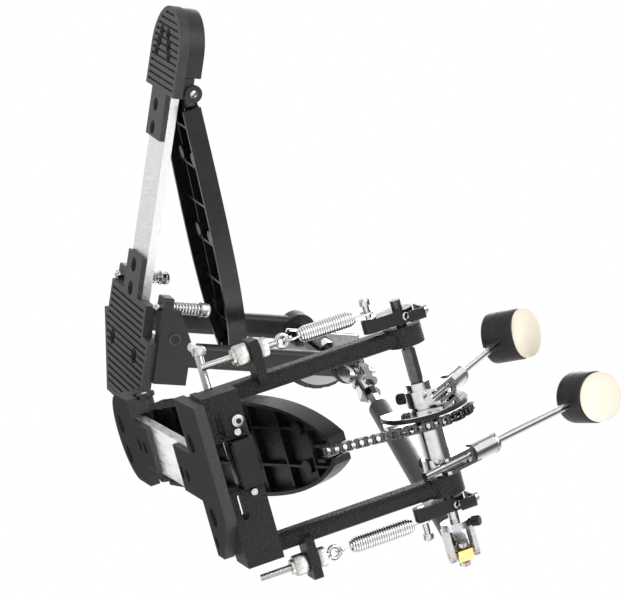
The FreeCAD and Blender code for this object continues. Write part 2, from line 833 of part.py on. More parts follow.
def wire_tube(name, edges, radius):
    path = Part.Wire(edges)
    start = edges[0]
    direction = start.tangentAt(start.FirstParameter)
    ring = Part.Wire(Part.makeCircle(radius, start.valueAt(start.FirstParameter), direction))
    tube = path.makePipeShell([ring], True, False)
    points = path.discretize(Distance=radius)
    least = min(points[i].distanceToPoint(points[j]) for i in range(len(points))
                for j in range(i + 7, len(points)))
    print(name, "least gap between curls", round(least - 2 * radius, 2))
    return tube


def hooked_spring(name, x, y, low, top, pin_z):
    r = spring_mean_r
    crest = pin_z + spring_pin_r + hook_gap + spring_wire_r
    zt = crest - r
    zb = low - spring_leg
    end = 2 * spring_wire_r
    first = math.radians(50)
    curls = round((top - low) / spring_curl_rise)
    last = 2 * math.pi * curls - first
    stations = helix_stations(x, y, low, top, r, first, last)
    up = V(0, 0, 1)
    foot = V(x, y + r, low - spring_bend)
    head = V(x, y + r, top + spring_bend)
    edges = [Part.makeLine(V(x, y - r, zb + end), V(x, y - r, zb)),
             Part.Arc(V(x, y - r, zb), V(x, y, zb - r), V(x, y + r, zb)).toShape(),
             Part.makeLine(V(x, y + r, zb), foot)]
    path = [(foot, up)] + stations + [(head, up)]
    for a, b in zip(path, path[1:]):
        edges += biarc(a[0], a[1], b[0], b[1])
    edges += [Part.makeLine(head, V(x, y + r, zt)),
              Part.Arc(V(x, y + r, zt), V(x, y, zt + r), V(x, y - r, zt)).toShape(),
              Part.makeLine(V(x, y - r, zt), V(x, y - r, zt - end))]
    return wire_tube(name, edges, spring_wire_r)


def eyebolt(x, y, low):
    crest = low - spring_leg - spring_mean_r
    centre = crest + spring_wire_r + hook_gap - (eye_major - eye_minor)
    ring = Part.makeTorus(eye_major, eye_minor, V(x, y, centre), Y_DIR)
    shank = rod(V(x, y, eyebolt_low), Z_DIR, eyebolt_r, centre - eye_major - eyebolt_low)
    return fuse([ring, shank])


def eyebolt_nuts(x, y):
    low = rod(V(x, y, tab_bottom - nut_low_t), Z_DIR, nut_low_r, nut_low_t)
    high = rod(V(x, y, tab_top), Z_DIR, nut_high_r, nut_high_t)
    bore = rod(V(x, y, eyebolt_low), Z_DIR, eyebolt_r, tab_top + nut_high_t)
    return [low.cut(bore), high.cut(bore)]


eyebolts = []
nuts = []
for name, x, low, top in (("right", right_spring_x, right_spring_low, right_spring_top),
                          ("left", left_spring_x, left_spring_low, left_spring_top)):
    put(name + "_spring", hooked_spring(name, x, rocker_pin_y, low, top, spring_pin_z))
    eyebolts.append(eyebolt(x, rocker_pin_y, low))
    nuts += eyebolt_nuts(x, rocker_pin_y)
put("eyebolts", Part.Compound(eyebolts))
put("eyebolt_nuts", Part.Compound(nuts))


# Cross joints: a yoke on each axle, a cross, and a fork on each end of the shaft
def yoke(hub_length):
    hub = rod_x(yoke_start, yoke_start + hub_length, 0, 0, yoke_r)
    arms = []
    for side in (-1, 1):
        z0 = min(side * yoke_arm_in, side * yoke_r)
        arms.append(box(0, yoke_start + 1, -yoke_arm_half, yoke_arm_half, z0, z0 + yoke_r - yoke_arm_in))
        arms.append(rod(V(0, 0, z0), Z_DIR, yoke_arm_half, yoke_r - yoke_arm_in))
    hole = rod(V(0, 0, -2 * yoke_r), Z_DIR, cross_pin_r + run_gap, 4 * yoke_r)
    bore = rod_x(yoke_start - 1, yoke_start + hub_length + 1, 0, 0, axle_r + run_gap)
    return cut(fuse([hub] + arms), [hole, bore])


def cross():
    block = box(-cross_half, cross_half, -cross_half, cross_half, -cross_height, cross_height)
    tall = rod(V(0, 0, -yoke_r), Z_DIR, cross_pin_r, 2 * yoke_r)
    wide = rod(V(0, -fork_arm_out, 0), Y_DIR, cross_pin_r, 2 * fork_arm_out)
    return fuse([block, tall, wide])


def fork():
    shapes = [rod_x(fork_start, fork_hub_end, 0, 0, fork_hub_r),
              box(fork_start, fork_start + fork_bridge, -fork_arm_out, fork_arm_out, -fork_bridge_half,
                  fork_bridge_half)]
    for side in (-1, 1):
        y0 = min(side * fork_arm_in, side * fork_arm_out)
        y1 = y0 + fork_arm_out - fork_arm_in
        shapes.append(box(0, fork_start + 1, y0, y1, -fork_arm_half, fork_arm_half))
        shapes.append(rod(V(0, y0, 0), Y_DIR, fork_boss_r, y1 - y0))
    hole = rod(V(0, -2 * fork_arm_out, 0), Y_DIR, cross_pin_r + run_gap, 4 * fork_arm_out)
    return fuse(shapes).cut(hole)


shaft_vector = joint_a.sub(joint_b)
shaft_length = shaft_vector.Length
shaft_dir = V(shaft_vector).normalize()
side_dir = Z_DIR.cross(shaft_dir).normalize()
shaft_place = axes_placement(joint_b, shaft_dir, side_dir)
slave_up = slave_turn.multVec(Z_DIR)
fork_pin_dir = slave_up.cross(shaft_dir).normalize()
fork_a_place = axes_placement(joint_a, V(shaft_dir).multiply(-1), fork_pin_dir)
cross_a_place = axes_placement(joint_a, fork_pin_dir.cross(slave_up), fork_pin_dir)

put("yoke_b", placed(yoke(yoke_hub_b), FreeCAD.Placement(joint_b, FreeCAD.Rotation())))
put("cross_b", placed(cross(), axes_placement(joint_b, side_dir.cross(Z_DIR), side_dir)))
spigot = rod_x(fork_hub_end, spigot_end, 0, 0, spigot_r)
put("fork_b", placed(fuse([fork(), spigot]), shaft_place))
tube = rod_x(fork_hub_end, tube_end, 0, 0, tube_r)
bevel_edges = [edge for edge in tube.Edges if len(edge.Vertexes) == 1]
tube = tube.makeChamfer(tube_bevel, bevel_edges)
hex_corner = hex_flats / math.sqrt(3)
tube = cut(tube, [rod_x(fork_hub_end - 1, spigot_end, 0, 0, spigot_r),
                  rod_x(spigot_end, tube_end + 1, 0, 0, hex_corner + slide_gap)])
put("shaft_tube", placed(tube, shaft_place))
hex_rod = placed(hex_x(rod_in_tube, shaft_length - fork_hub_end + 1, 0, 0, hex_flats), shaft_place)
put("shaft_rod", fuse([hex_rod, placed(fork(), fork_a_place)]))
put("cross_a", placed(cross(), cross_a_place))
yoke_turn = FreeCAD.Placement(V(slave_joint_x, 0, axle_height), FreeCAD.Rotation(Z_DIR, 180))
put_slave("yoke_a", placed(yoke(yoke_hub_a), yoke_turn))

# Slave pedal
brackets = []
for side in (-1, 1):
    x0 = side * post_x - post_width / 2
    gusset = [(bracket_back, plate_t), (bracket_back, bracket_low_top), (0, bracket_top), (0, plate_t)]
    brackets.append(side_prism(gusset, x0, x0 + post_width))
put_slave("slave_bearings", bearings())
spur_ears = []
spur_holes = []
spurs = []
for x, y in spur_at:
    spur_ears.append(soft_box(x - spur_ear_half, x + spur_ear_half, spur_ear_back, y + spur_ear_half, plate_t,
                              spur_ear_top, tab_round, Z_DIR))
    spur_holes.append(rod(V(x, y, -1), Z_DIR, spur_r, bracket_top))
    tip = Part.makeCone(spur_r / 3, spur_r, spur_r, V(x, y, spur_tip), Z_DIR)
    shank = rod(V(x, y, spur_tip + spur_r), Z_DIR, spur_r, spur_head_low - spur_tip - spur_r)
    spurs.append(fuse([tip, shank, rod(V(x, y, spur_head_low), Z_DIR, spur_head_r, spur_head_t)]))
slave_frame = fuse([pedal_frame()] + brackets + spur_ears)
spring_room_r = spur_spring_r + 2 * spur_wire_r
spring_rooms = [rod(V(x, y, spur_ear_top), Z_DIR, spring_room_r, bracket_top) for x, y in spur_at]
put_slave("slave_frame", cut(slave_frame, spur_holes + spring_rooms))
slave_grip = grip_plate(slave_plate, slave_front_tongue_end, slave_plate_holes)
plate_grooves = sole_grooves(face_of([V(x, y, 0) for x, y in slave_plate]), slave_plate_grooves)
put_slave("slave_grip_plate", cut(slave_grip, spur_holes + plate_grooves))
put_slave("spur_screws", Part.Compound(spurs))


def plain_spring(name, x, y):
    stations = helix_stations(x, y, spur_spring_low, spur_spring_top, spur_spring_r, 0.0,
                              2 * math.pi * spur_curls)
    first, last = stations[0], stations[-1]
    lead = 2 * spur_wire_r
    edges = [Part.makeLine(first[0].sub(V(first[1]).multiply(lead)), first[0])]
    for a, b in zip(stations, stations[1:]):
        edges += biarc(a[0], a[1], b[0], b[1])
    edges.append(Part.makeLine(last[0], last[0].add(V(last[1]).multiply(lead))))
    return wire_tube(name, edges, spur_wire_r)


put_slave("spur_springs", Part.Compound([plain_spring("spur", x, y) for x, y in spur_at]))
heel_grooves = sole_grooves(heel_face(0, heel_front, 0), slave_heel_grooves)
put_slave("slave_heel", cut(heel_plate(slave_heel_tongue_end, slave_heel_holes), heel_grooves))
put_slave("slave_bar", bar)
put_slave("slave_hinge_pin", hinge_pin())
put_slave("slave_board", footboard())
put_slave("slave_anchor", chain_anchor())
put_slave("slave_axle", rod_x(slave_axle_left, slave_joint_x - yoke_start, 0, axle_height, axle_r))
put_slave("slave_cam", cam())
put_slave("slave_wound_chain", wound_chain(slave_free_links))
for number in range(1, slave_free_links + 1):
    put_slave("slave_link_" + str(number), free_link(slave_free_links, number))
put_slave("slave_chain_run", chain_run())
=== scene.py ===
import bpy, bmesh, math
from mathutils import Matrix, Vector


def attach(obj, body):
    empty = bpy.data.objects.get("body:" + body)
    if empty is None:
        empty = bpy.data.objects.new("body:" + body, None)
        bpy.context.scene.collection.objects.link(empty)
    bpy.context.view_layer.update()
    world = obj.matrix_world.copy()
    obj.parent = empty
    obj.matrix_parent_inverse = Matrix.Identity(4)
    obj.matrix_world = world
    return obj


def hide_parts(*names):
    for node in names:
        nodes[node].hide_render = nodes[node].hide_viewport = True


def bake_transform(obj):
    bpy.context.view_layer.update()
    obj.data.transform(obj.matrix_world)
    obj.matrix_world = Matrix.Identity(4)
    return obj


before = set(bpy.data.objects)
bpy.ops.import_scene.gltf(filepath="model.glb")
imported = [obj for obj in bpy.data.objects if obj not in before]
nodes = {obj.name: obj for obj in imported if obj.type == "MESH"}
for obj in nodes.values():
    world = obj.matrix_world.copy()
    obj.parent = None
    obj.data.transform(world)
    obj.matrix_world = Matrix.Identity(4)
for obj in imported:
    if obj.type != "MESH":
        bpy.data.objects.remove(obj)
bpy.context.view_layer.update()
scene = bpy.context.scene
scene.view_settings.view_transform = "Standard"
print("frame loaded", len(nodes), "nodes")

# camera: long lens, low in front of the main pedal and rolled on its side
cameraSet = {
    "place": (0.5785, 2.462, -0.524),
    "right": (-0.263, 0.289, 0.920),
    "up": (0.947, -0.103, 0.303),
    "lens": 203.0,
}
right = Vector(cameraSet["right"]).normalized()
up = Vector(cameraSet["up"])
up = (up - right * up.dot(right)).normalized()
back = right.cross(up)
cameraData = bpy.data.cameras.new("viewCamera")
cameraData.lens = cameraSet["lens"]
cameraData.sensor_width = 36.0
cameraData.clip_end = 20.0
camera = bpy.data.objects.new("viewCamera", cameraData)
scene.collection.objects.link(camera)
camera.matrix_world = Matrix.Translation(cameraSet["place"]) @ Matrix((right, up, back)).transposed().to_4x4()
scene.camera = camera

# lamps: big soft panels on both sides of the pale floor
lampSet = [
    ("keyLamp", (1.6, 2.0, 1.6), 1.6, 42.0),
    ("sideLamp", (-2.0, 1.4, 1.2), 1.8, 26.0),
    ("lowLamp", (0.9, 1.8, -1.7), 1.8, 34.0),
    ("farLamp", (0.2, -2.2, 1.6), 1.8, 26.0),
    ("soleLamp", (-0.5, 0.1, -1.9), 1.4, 40.0),
]
for lampName, place, size, watts in lampSet:
    lampData = bpy.data.lights.new(lampName, "AREA")
    lampData.size = size
    lampData.energy = watts
    lamp = bpy.data.objects.new(lampName, lampData)
    scene.collection.objects.link(lamp)
    lamp.location = place
    lamp.rotation_euler = (Vector((0, -0.1, 0.15)) - Vector(place)).to_track_quat("-Z", "Y").to_euler()

world = bpy.data.worlds.new("paleRoom")
scene.world = world
world.use_nodes = True
wt = world.node_tree
wt.nodes.clear()
worldOut = wt.nodes.new("ShaderNodeOutputWorld")
worldMix = wt.nodes.new("ShaderNodeMixShader")
roomLight = wt.nodes.new("ShaderNodeBackground")
roomLight.inputs["Color"].default_value = (1, 1, 1, 1)
roomLight.inputs["Strength"].default_value = 0.55
roomSeen = wt.nodes.new("ShaderNodeBackground")
roomSeen.inputs["Color"].default_value = (1, 1, 1, 1)
roomSeen.inputs["Strength"].default_value = 1.0
worldPath = wt.nodes.new("ShaderNodeLightPath")
worldSharp = wt.nodes.new("ShaderNodeMath")
worldSharp.operation = "MAXIMUM"
worldSeen = wt.nodes.new("ShaderNodeMath")
worldSeen.operation = "MAXIMUM"
wt.links.new(worldPath.outputs["Is Glossy Ray"], worldSharp.inputs[0])
wt.links.new(worldPath.outputs["Is Transmission Ray"], worldSharp.inputs[1])
wt.links.new(worldPath.outputs["Is Camera Ray"], worldSeen.inputs[0])
wt.links.new(worldSharp.outputs[0], worldSeen.inputs[1])
wt.links.new(worldSeen.outputs[0], worldMix.inputs[0])
wt.links.new(roomLight.outputs[0], worldMix.inputs[1])
wt.links.new(roomSeen.outputs[0], worldMix.inputs[2])
wt.links.new(worldMix.outputs[0], worldOut.inputs[0])

# floor: pale from above, clear from below so the low camera looks through it
floorMesh = bpy.data.meshes.new("paleFloor")
floorMesh.from_pydata([(-3, -3, 0), (3, -3, 0), (3, 3, 0), (-3, 3, 0)], [], [(0, 1, 2, 3)])
floor = bpy.data.objects.new("paleFloor", floorMesh)
floor.location.z = -0.0006
scene.collection.objects.link(floor)
floorMat = bpy.data.materials.new("paleFloorPaint")
floorMat.use_nodes = True
ft = floorMat.node_tree
ft.nodes.clear()
floorOut = ft.nodes.new("ShaderNodeOutputMaterial")
floorMix = ft.nodes.new("ShaderNodeMixShader")
floorPaint = ft.nodes.new("ShaderNodeBsdfDiffuse")
floorPaint.inputs["Color"].default_value = (0.86, 0.86, 0.86, 1)
floorClear = ft.nodes.new("ShaderNodeBsdfTransparent")
floorSide = ft.nodes.new("ShaderNodeNewGeometry")
floorPath = ft.nodes.new("ShaderNodeLightPath")
floorEither = ft.nodes.new("ShaderNodeMath")
floorEither.operation = "MAXIMUM"
ft.links.new(floorSide.outputs["Backfacing"], floorEither.inputs[0])
ft.links.new(floorPath.outputs["Is Shadow Ray"], floorEither.inputs[1])
ft.links.new(floorEither.outputs[0], floorMix.inputs[0])
ft.links.new(floorPaint.outputs[0], floorMix.inputs[1])
ft.links.new(floorClear.outputs[0], floorMix.inputs[2])
ft.links.new(floorMix.outputs[0], floorOut.inputs[0])
floorMesh.materials.append(floorMat)
print("stage ready")


# places in millimetres: the slave pedal stands turned and pitched behind the main one
mm = 0.001
axleMid = Vector((0, 0, 175.0))
slaveSet = {"yaw": 99.35, "roll": -0.91, "pitch": -22.31, "joint": (-16.9, -255.8, 202.8), "jointX": 94.0}
slaveTurn = (Matrix.Rotation(math.radians(slaveSet["yaw"]), 4, "Z")
             @ Matrix.Rotation(math.radians(slaveSet["roll"]), 4, "Y")
             @ Matrix.Rotation(math.radians(slaveSet["pitch"]), 4, "X"))
slaveShift = Vector(slaveSet["joint"]) - slaveTurn @ Vector((slaveSet["jointX"], 0, axleMid.z))
slavePlace = Matrix.Translation(slaveShift) @ slaveTurn
noTurn = Matrix.Identity(4)


# finishes
def newFinish(name, color, metal, rough):
    mat = bpy.data.materials.new(name)
    mat.use_nodes = True
    shader = mat.node_tree.nodes["Principled BSDF"]
    shader.inputs["Base Color"].default_value = (*color, 1)
    shader.inputs["Metallic"].default_value = metal
    shader.inputs["Roughness"].default_value = rough
    return mat, mat.node_tree, shader


def grain(tree, kind, scale, stretch=(1, 1, 1), detail=2.0):
    coords = tree.nodes.new("ShaderNodeTexCoord")
    mapping = tree.nodes.new("ShaderNodeMapping")
    mapping.inputs["Scale"].default_value = stretch
    texture = tree.nodes.new(kind)
    texture.inputs["Scale"].default_value = scale
    if "Detail" in texture.inputs:
        texture.inputs["Detail"].default_value = detail
    tree.links.new(coords.outputs["Object"], mapping.inputs["Vector"])
    tree.links.new(mapping.outputs["Vector"], texture.inputs["Vector"])
    return texture


def ramp(tree, source, low, high, start=0.3, end=0.7):
    node = tree.nodes.new("ShaderNodeValToRGB")
    node.color_ramp.elements[0].position = start
    node.color_ramp.elements[1].position = end
    node.color_ramp.elements[0].color = (*low, 1)
    node.color_ramp.elements[1].color = (*high, 1)
    tree.links.new(source, node.inputs["Fac"])
    return node


def bumpOn(tree, shader, source, strength, distance):
    bump = tree.nodes.new("ShaderNodeBump")
    bump.inputs["Strength"].default_value = strength
    bump.inputs["Distance"].default_value = distance
    tree.links.new(source, bump.inputs["Height"])
    tree.links.new(bump.outputs[0], shader.inputs["Normal"])


def hammerCoat():
    mat, tree, shader = newFinish("hammerCoat", (0.008, 0.008, 0.009), 0.0, 0.42)
    shader.inputs["Specular IOR Level"].default_value = 0.3
    pebble = grain(tree, "ShaderNodeTexVoronoi", 520.0)
    fine = grain(tree, "ShaderNodeTexNoise", 1300.0)
    tone = ramp(tree, fine.outputs["Fac"], (0.004, 0.004, 0.0045), (0.014, 0.014, 0.015), 0.4, 0.75)
    tree.links.new(tone.outputs["Color"], shader.inputs["Base Color"])
    rough = ramp(tree, fine.outputs["Fac"], (0.34, 0.34, 0.34), (0.5, 0.5, 0.5))
    tree.links.new(rough.outputs["Color"], shader.inputs["Roughness"])
    bumpOn(tree, shader, pebble.outputs["Distance"], 0.9, 0.0012)
    return mat


def sideBands(tree, axis, low, high, edges):
    # painted reflection: dark and bright bands round a turned part, by the way each face points, stand in for the
    # room a bright metal reflects
    facing = tree.nodes.new("ShaderNodeNewGeometry")
    along = tree.nodes.new("ShaderNodeVectorMath")
    along.operation = "DOT_PRODUCT"
    along.inputs[1].default_value = Vector(axis).normalized()
    tree.links.new(facing.outputs["Normal"], along.inputs[0])
    lift = tree.nodes.new("ShaderNodeMapRange")
    lift.inputs["From Min"].default_value = -1.0
    tree.links.new(along.outputs["Value"], lift.inputs["Value"])
    reflectionBands = tree.nodes.new("ShaderNodeValToRGB")
    elements = reflectionBands.color_ramp.elements
    elements[0].position, elements[0].color = edges[0], (*high, 1)
    elements[1].position, elements[1].color = edges[-1], (*high, 1)
    for spot, color in zip(edges[1:-1], (low, low, high, high, low, high)):
        elements.new(spot).color = (*color, 1)
    tree.links.new(lift.outputs["Result"], reflectionBands.inputs["Fac"])
    return reflectionBands


def brightPlate(name, color, rough, streak=260.0, stretch=(1, 1, 1), depth=0.0):
    mat, tree, shader = newFinish(name, color, 1.0, rough)
    rub = grain(tree, "ShaderNodeTexNoise", streak, stretch, detail=4.0)
    low = tuple(c * 0.88 for c in color)
    tone = ramp(tree, rub.outputs["Fac"], low, color)
    # depth sets how dark the painted reflection bands get; they multiply the metal colour
    if depth:
        shade = (1.0 - depth,) * 3
        edges = (0.05, 0.2, 0.3, 0.38, 0.6, 0.68, 0.78, 0.95)
        reflectionBands = sideBands(tree, (0.75, -0.25, -0.6), shade, (1, 1, 1), edges)
        both = tree.nodes.new("ShaderNodeMix")
        both.data_type = "RGBA"
        both.blend_type = "MULTIPLY"
        both.inputs["Factor"].default_value = 1.0
        tree.links.new(tone.outputs["Color"], both.inputs["A"])
        tree.links.new(reflectionBands.outputs["Color"], both.inputs["B"])
        tree.links.new(both.outputs["Result"], shader.inputs["Base Color"])
    else:
        tree.links.new(tone.outputs["Color"], shader.inputs["Base Color"])
    r0, r1 = rough * 0.75, min(1.0, rough * 1.5)
    shine = ramp(tree, rub.outputs["Fac"], (r0, r0, r0), (r1, r1, r1))
    tree.links.new(shine.outputs["Color"], shader.inputs["Roughness"])
    bumpOn(tree, shader, rub.outputs["Fac"], 0.04, 0.0001)
    return mat


def mathNode(tree, operation, first, second=None):
    node = tree.nodes.new("ShaderNodeMath")
    node.operation = operation
    for socket, value in zip(node.inputs, (first, second)):
        if value is None:
            continue
        if isinstance(value, (int, float)):
            socket.default_value = value
        else:
            tree.links.new(value, socket)
    return node.outputs[0]


def dotNode(tree, source, axis):
    node = tree.nodes.new("ShaderNodeVectorMath")
    node.operation = "DOT_PRODUCT"
    node.inputs[1].default_value = axis
    tree.links.new(source, node.inputs[0])
    return node.outputs["Value"]


def soleBase(name, place, face, paintedGrooveShade, ribPitch):
    # worn face, painted shade on the floors of the grooves and holes, painted dark stripes for the shade of fine
    # ribs where the sole has them
    mat, tree, shader = newFinish(name, face, 0.0, 0.55)
    shader.inputs["Specular IOR Level"].default_value = 0.3
    coords = tree.nodes.new("ShaderNodeTexCoord")
    facing = tree.nodes.new("ShaderNodeNewGeometry")
    turn = place.to_3x3()
    home = place.translation * mm
    fore, rise = turn.col[1], turn.col[2]
    y = mathNode(tree, "SUBTRACT", dotNode(tree, coords.outputs["Object"], fore), home.dot(fore))
    z = mathNode(tree, "SUBTRACT", dotNode(tree, coords.outputs["Object"], rise), home.dot(rise))
    # downward faces between 0.5 and 3.6 mm up, the floors of grooves and holes, get the near-black colour: painted
    # shade
    under = mathNode(tree, "LESS_THAN", dotNode(tree, facing.outputs["Normal"], rise), -0.9)
    above = mathNode(tree, "GREATER_THAN", z, 0.5 * mm)
    below = mathNode(tree, "LESS_THAN", z, 3.6 * mm)
    sunk = mathNode(tree, "MULTIPLY", above, below)
    paintedShadeMask = mathNode(tree, "MULTIPLY", sunk, under)
    if ribPitch:
        # stripes across the underside at the rib pitch, mixed towards the near-black colour: painted shade for fine
        # ribs
        step = mathNode(tree, "FRACT", mathNode(tree, "DIVIDE", y, ribPitch * mm))
        paintedRibShade = mathNode(tree, "MULTIPLY", mathNode(tree, "LESS_THAN", step, 0.4), under)
        paintedShadeMask = mathNode(tree, "MAXIMUM", paintedShadeMask, mathNode(tree, "MULTIPLY", paintedRibShade, 0.6))
    dust = grain(tree, "ShaderNodeTexNoise", 420.0)
    tone = ramp(tree, dust.outputs["Fac"], tuple(c * 0.8 for c in face), tuple(c * 1.25 for c in face))
    both = tree.nodes.new("ShaderNodeMix")
    both.data_type = "RGBA"
    both.inputs["B"].default_value = (*paintedGrooveShade, 1)
    tree.links.new(paintedShadeMask, both.inputs["Factor"])
    tree.links.new(tone.outputs["Color"], both.inputs["A"])
    tree.links.new(both.outputs["Result"], shader.inputs["Base Color"])
    fine = grain(tree, "ShaderNodeTexNoise", 1500.0)
    bumpOn(tree, shader, fine.outputs["Fac"], 0.15, 0.0003)
    return mat


def glossBlack(name, color, rough, shine=0.35):
    mat, tree, shader = newFinish(name, color, 0.0, rough)
    shader.inputs["Specular IOR Level"].default_value = shine
    cloud = grain(tree, "ShaderNodeTexNoise", 160.0)
    tone = ramp(tree, cloud.outputs["Fac"], tuple(c * 0.8 for c in color), tuple(c * 1.25 for c in color))
    tree.links.new(tone.outputs["Color"], shader.inputs["Base Color"])
    polish = ramp(tree, cloud.outputs["Fac"], (rough * 0.85,) * 3, (rough * 1.2,) * 3)
    tree.links.new(polish.outputs["Color"], shader.inputs["Roughness"])
    fine = grain(tree, "ShaderNodeTexNoise", 1500.0)
    bumpOn(tree, shader, fine.outputs["Fac"], 0.04, 0.0001)
    return mat


def creamFelt():
    mat, tree, shader = newFinish("creamFelt", (0.84, 0.75, 0.62), 0.0, 0.95)
    wool = grain(tree, "ShaderNodeTexNoise", 1500.0, detail=6.0)
    tone = ramp(tree, wool.outputs["Fac"], (0.79, 0.70, 0.57), (0.88, 0.80, 0.68))
    tree.links.new(tone.outputs["Color"], shader.inputs["Base Color"])
    shader.inputs["Sheen Weight"].default_value = 0.2
    bumpOn(tree, shader, wool.outputs["Fac"], 0.25, 0.0004)
    return mat


finish = {
    "hammer": hammerCoat(),
    "chrome": brightPlate("chromePlate", (0.86, 0.86, 0.87), 0.1, depth=0.88),
    "barMetal": brightPlate("brushedBar", (0.84, 0.84, 0.84), 0.34, 900.0, (1, 0.06, 1)),
    "darkSteel": brightPlate("darkSteel", (0.12, 0.12, 0.125), 0.3, depth=0.6),
    "chainSteel": brightPlate("oiledChain", (0.15, 0.145, 0.14), 0.28, 700.0, depth=0.85),
    "springWire": brightPlate("springWire", (0.78, 0.78, 0.79), 0.18, 800.0),
    "brass": brightPlate("crossBrass", (0.55, 0.40, 0.17), 0.32, 500.0),
    "castSilver": brightPlate("castSilver", (0.72, 0.72, 0.73), 0.22, 420.0, depth=0.75),
    "tubeGrey": glossBlack("tubeAnodised", (0.035, 0.036, 0.039), 0.4),
    "board": glossBlack("boardBlack", (0.007, 0.007, 0.008), 0.3),
    "headBlack": glossBlack("headBlack", (0.008, 0.008, 0.008), 0.36),
    "mainBase": soleBase("mainSole", noTurn, (0.036, 0.036, 0.038), (0.002, 0.002, 0.002), 2.6),
    "slaveBase": soleBase("slaveSole", slavePlace, (0.032, 0.032, 0.034), (0.002, 0.002, 0.002), 0),
    "slaveCoat": glossBlack("slavePaint", (0.012, 0.012, 0.0125), 0.42),
    "boltBlack": glossBlack("boltBlack", (0.006, 0.006, 0.0065), 0.3),
    "boardStud": glossBlack("studBlack", (0.012, 0.012, 0.013), 0.36),
    "heelBlack": glossBlack("heelBlack", (0.011, 0.011, 0.012), 0.45),
    "nutSteel": brightPlate("nutNickel", (0.62, 0.61, 0.58), 0.28, 420.0),
    "felt": creamFelt(),
}
finishOf = {
    "hammer": ["main_frame"],
    "slaveCoat": ["slave_frame"],
    "boltBlack": ["hoop_jaw", "right_rocker", "left_rocker"],
    "chrome": ["main_cam", "slave_cam", "left_axle", "beater_1_clamp", "beater_2_clamp", "beater_1_rod",
               "beater_2_rod", "t_screw", "right_spring_screw", "left_spring_screw", "eyebolts", "eyebolt_nuts",
               "shaft_rod", "main_hinge_pin", "slave_hinge_pin", "spur_screws"],
    "castSilver": ["yoke_a", "yoke_b", "fork_b", "cross_a"],
    "barMetal": ["main_bar", "slave_bar"],
    "darkSteel": ["main_axle", "slave_axle", "main_bearings", "slave_bearings", "main_anchor", "slave_anchor"],
    "springWire": ["right_spring", "left_spring", "spur_springs"],
    "brass": ["cross_b"],
    "tubeGrey": ["shaft_tube"],
    "board": ["main_board", "slave_board"],
    "headBlack": ["beater_1_head", "beater_2_head"],
    "felt": ["beater_1_felt", "beater_2_felt"],
    "mainBase": ["main_grip_plate", "main_heel"],
    "slaveBase": ["slave_grip_plate", "slave_heel"],
}
painted = {}
for key, names in finishOf.items():
    for name in names:
        painted[name] = key
for name, node in nodes.items():
    key = painted.get(name, "chainSteel")
    node.data.materials.clear()
    node.data.materials.append(finish[key])
print("finishes on", len(nodes), "nodes")

# shared makers, sizes in millimetres
def leaned(degrees):
    tilt = Matrix.Rotation(math.radians(degrees), 4, "X")
    return Matrix.Translation(axleMid) @ tilt @ Matrix.Translation(-axleMid)


def aimed(start, direction):
    return Matrix.Translation(start) @ Vector(direction).to_track_quat("Z", "Y").to_matrix().to_4x4()


def addPiece(name, verts, faces, key, body, place=noTurn, crease=40.0):
    mesh = bpy.data.meshes.new(name)
    mesh.from_pydata([place @ Vector(v) * mm for v in verts], [], faces)
    mesh.materials.append(finish[key])
    bm = bmesh.new()
    bm.from_mesh(mesh)
    bmesh.ops.recalc_face_normals(bm, faces=bm.faces)
    for edge in bm.edges:
        edge.smooth = len(edge.link_faces) == 2 and edge.calc_face_angle(0) < math.radians(crease)
    for face in bm.faces:
        face.smooth = True
    bm.to_mesh(mesh)
    bm.free()
    piece = bpy.data.objects.new(name, mesh)
    scene.collection.objects.link(piece)
    if body:
        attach(piece, body)
    return piece


def ringFaces(rows, around, loop=False):
    faces = []
    for r in range(rows if loop else rows - 1):
        for a in range(around):
            b = (a + 1) % around
            n = (r + 1) % rows
            faces.append((r * around + a, r * around + b, n * around + b, n * around + a))
    return faces


def spun(name, profile, key, body, place=noTurn, around=48, ridges=0, bite=0.0, loop=False):
    verts = []
    for radius, height, *ridged in profile:
        for a in range(around):
            angle = 2 * math.pi * a / around
            r = radius
            if ridges and ridged:
                r -= bite * (0.5 + 0.5 * math.cos(ridges * angle))
            verts.append((r * math.cos(angle), r * math.sin(angle), height))
    faces = ringFaces(len(profile), around, loop)
    if not loop:
        faces.append(tuple(range(around)))
        faces.append(tuple(range((len(profile) - 1) * around, len(profile) * around)))
    return addPiece(name, verts, faces, key, body, place)


def threaded(name, radius, depth, lead, length, key, body, place, around=20):
    rows = int(length / lead * 6) + 1
    verts = []
    for k in range(rows):
        h = length * k / (rows - 1)
        for a in range(around):
            angle = 2 * math.pi * a / around
            phase = (h / lead - a / around) % 1.0
            r = radius + depth * (1 - abs(2 * phase - 1))
            verts.append((r * math.cos(angle), r * math.sin(angle), h))
    faces = ringFaces(rows, around)
    faces.append(tuple(range(around)))
    faces.append(tuple(range((rows - 1) * around, rows * around)))
    return addPiece(name, verts, faces, key, body, place, 60.0)


def bentWire(name, points, radius, key, body, place=noTurn):
    curve = bpy.data.curves.new(name, "CURVE")
    curve.dimensions = "3D"
    curve.bevel_depth = radius * mm
    curve.bevel_resolution = 3
    curve.use_fill_caps = True
    spline = curve.splines.new("POLY")
    spline.points.add(len(points) - 1)
    for knot, p in zip(spline.points, points):
        knot.co = (*(place @ Vector(p) * mm), 1)
    carrier = bpy.data.objects.new(name + "Line", curve)
    scene.collection.objects.link(carrier)
    mesh = bpy.data.meshes.new_from_object(carrier)
    bpy.data.objects.remove(carrier)
    mesh.materials.clear()
    mesh.materials.append(finish[key])
    for face in mesh.polygons:
        face.use_smooth = True
    piece = bpy.data.objects.new(name, mesh)
    scene.collection.objects.link(piece)
    if body:
        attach(piece, body)
    return piece


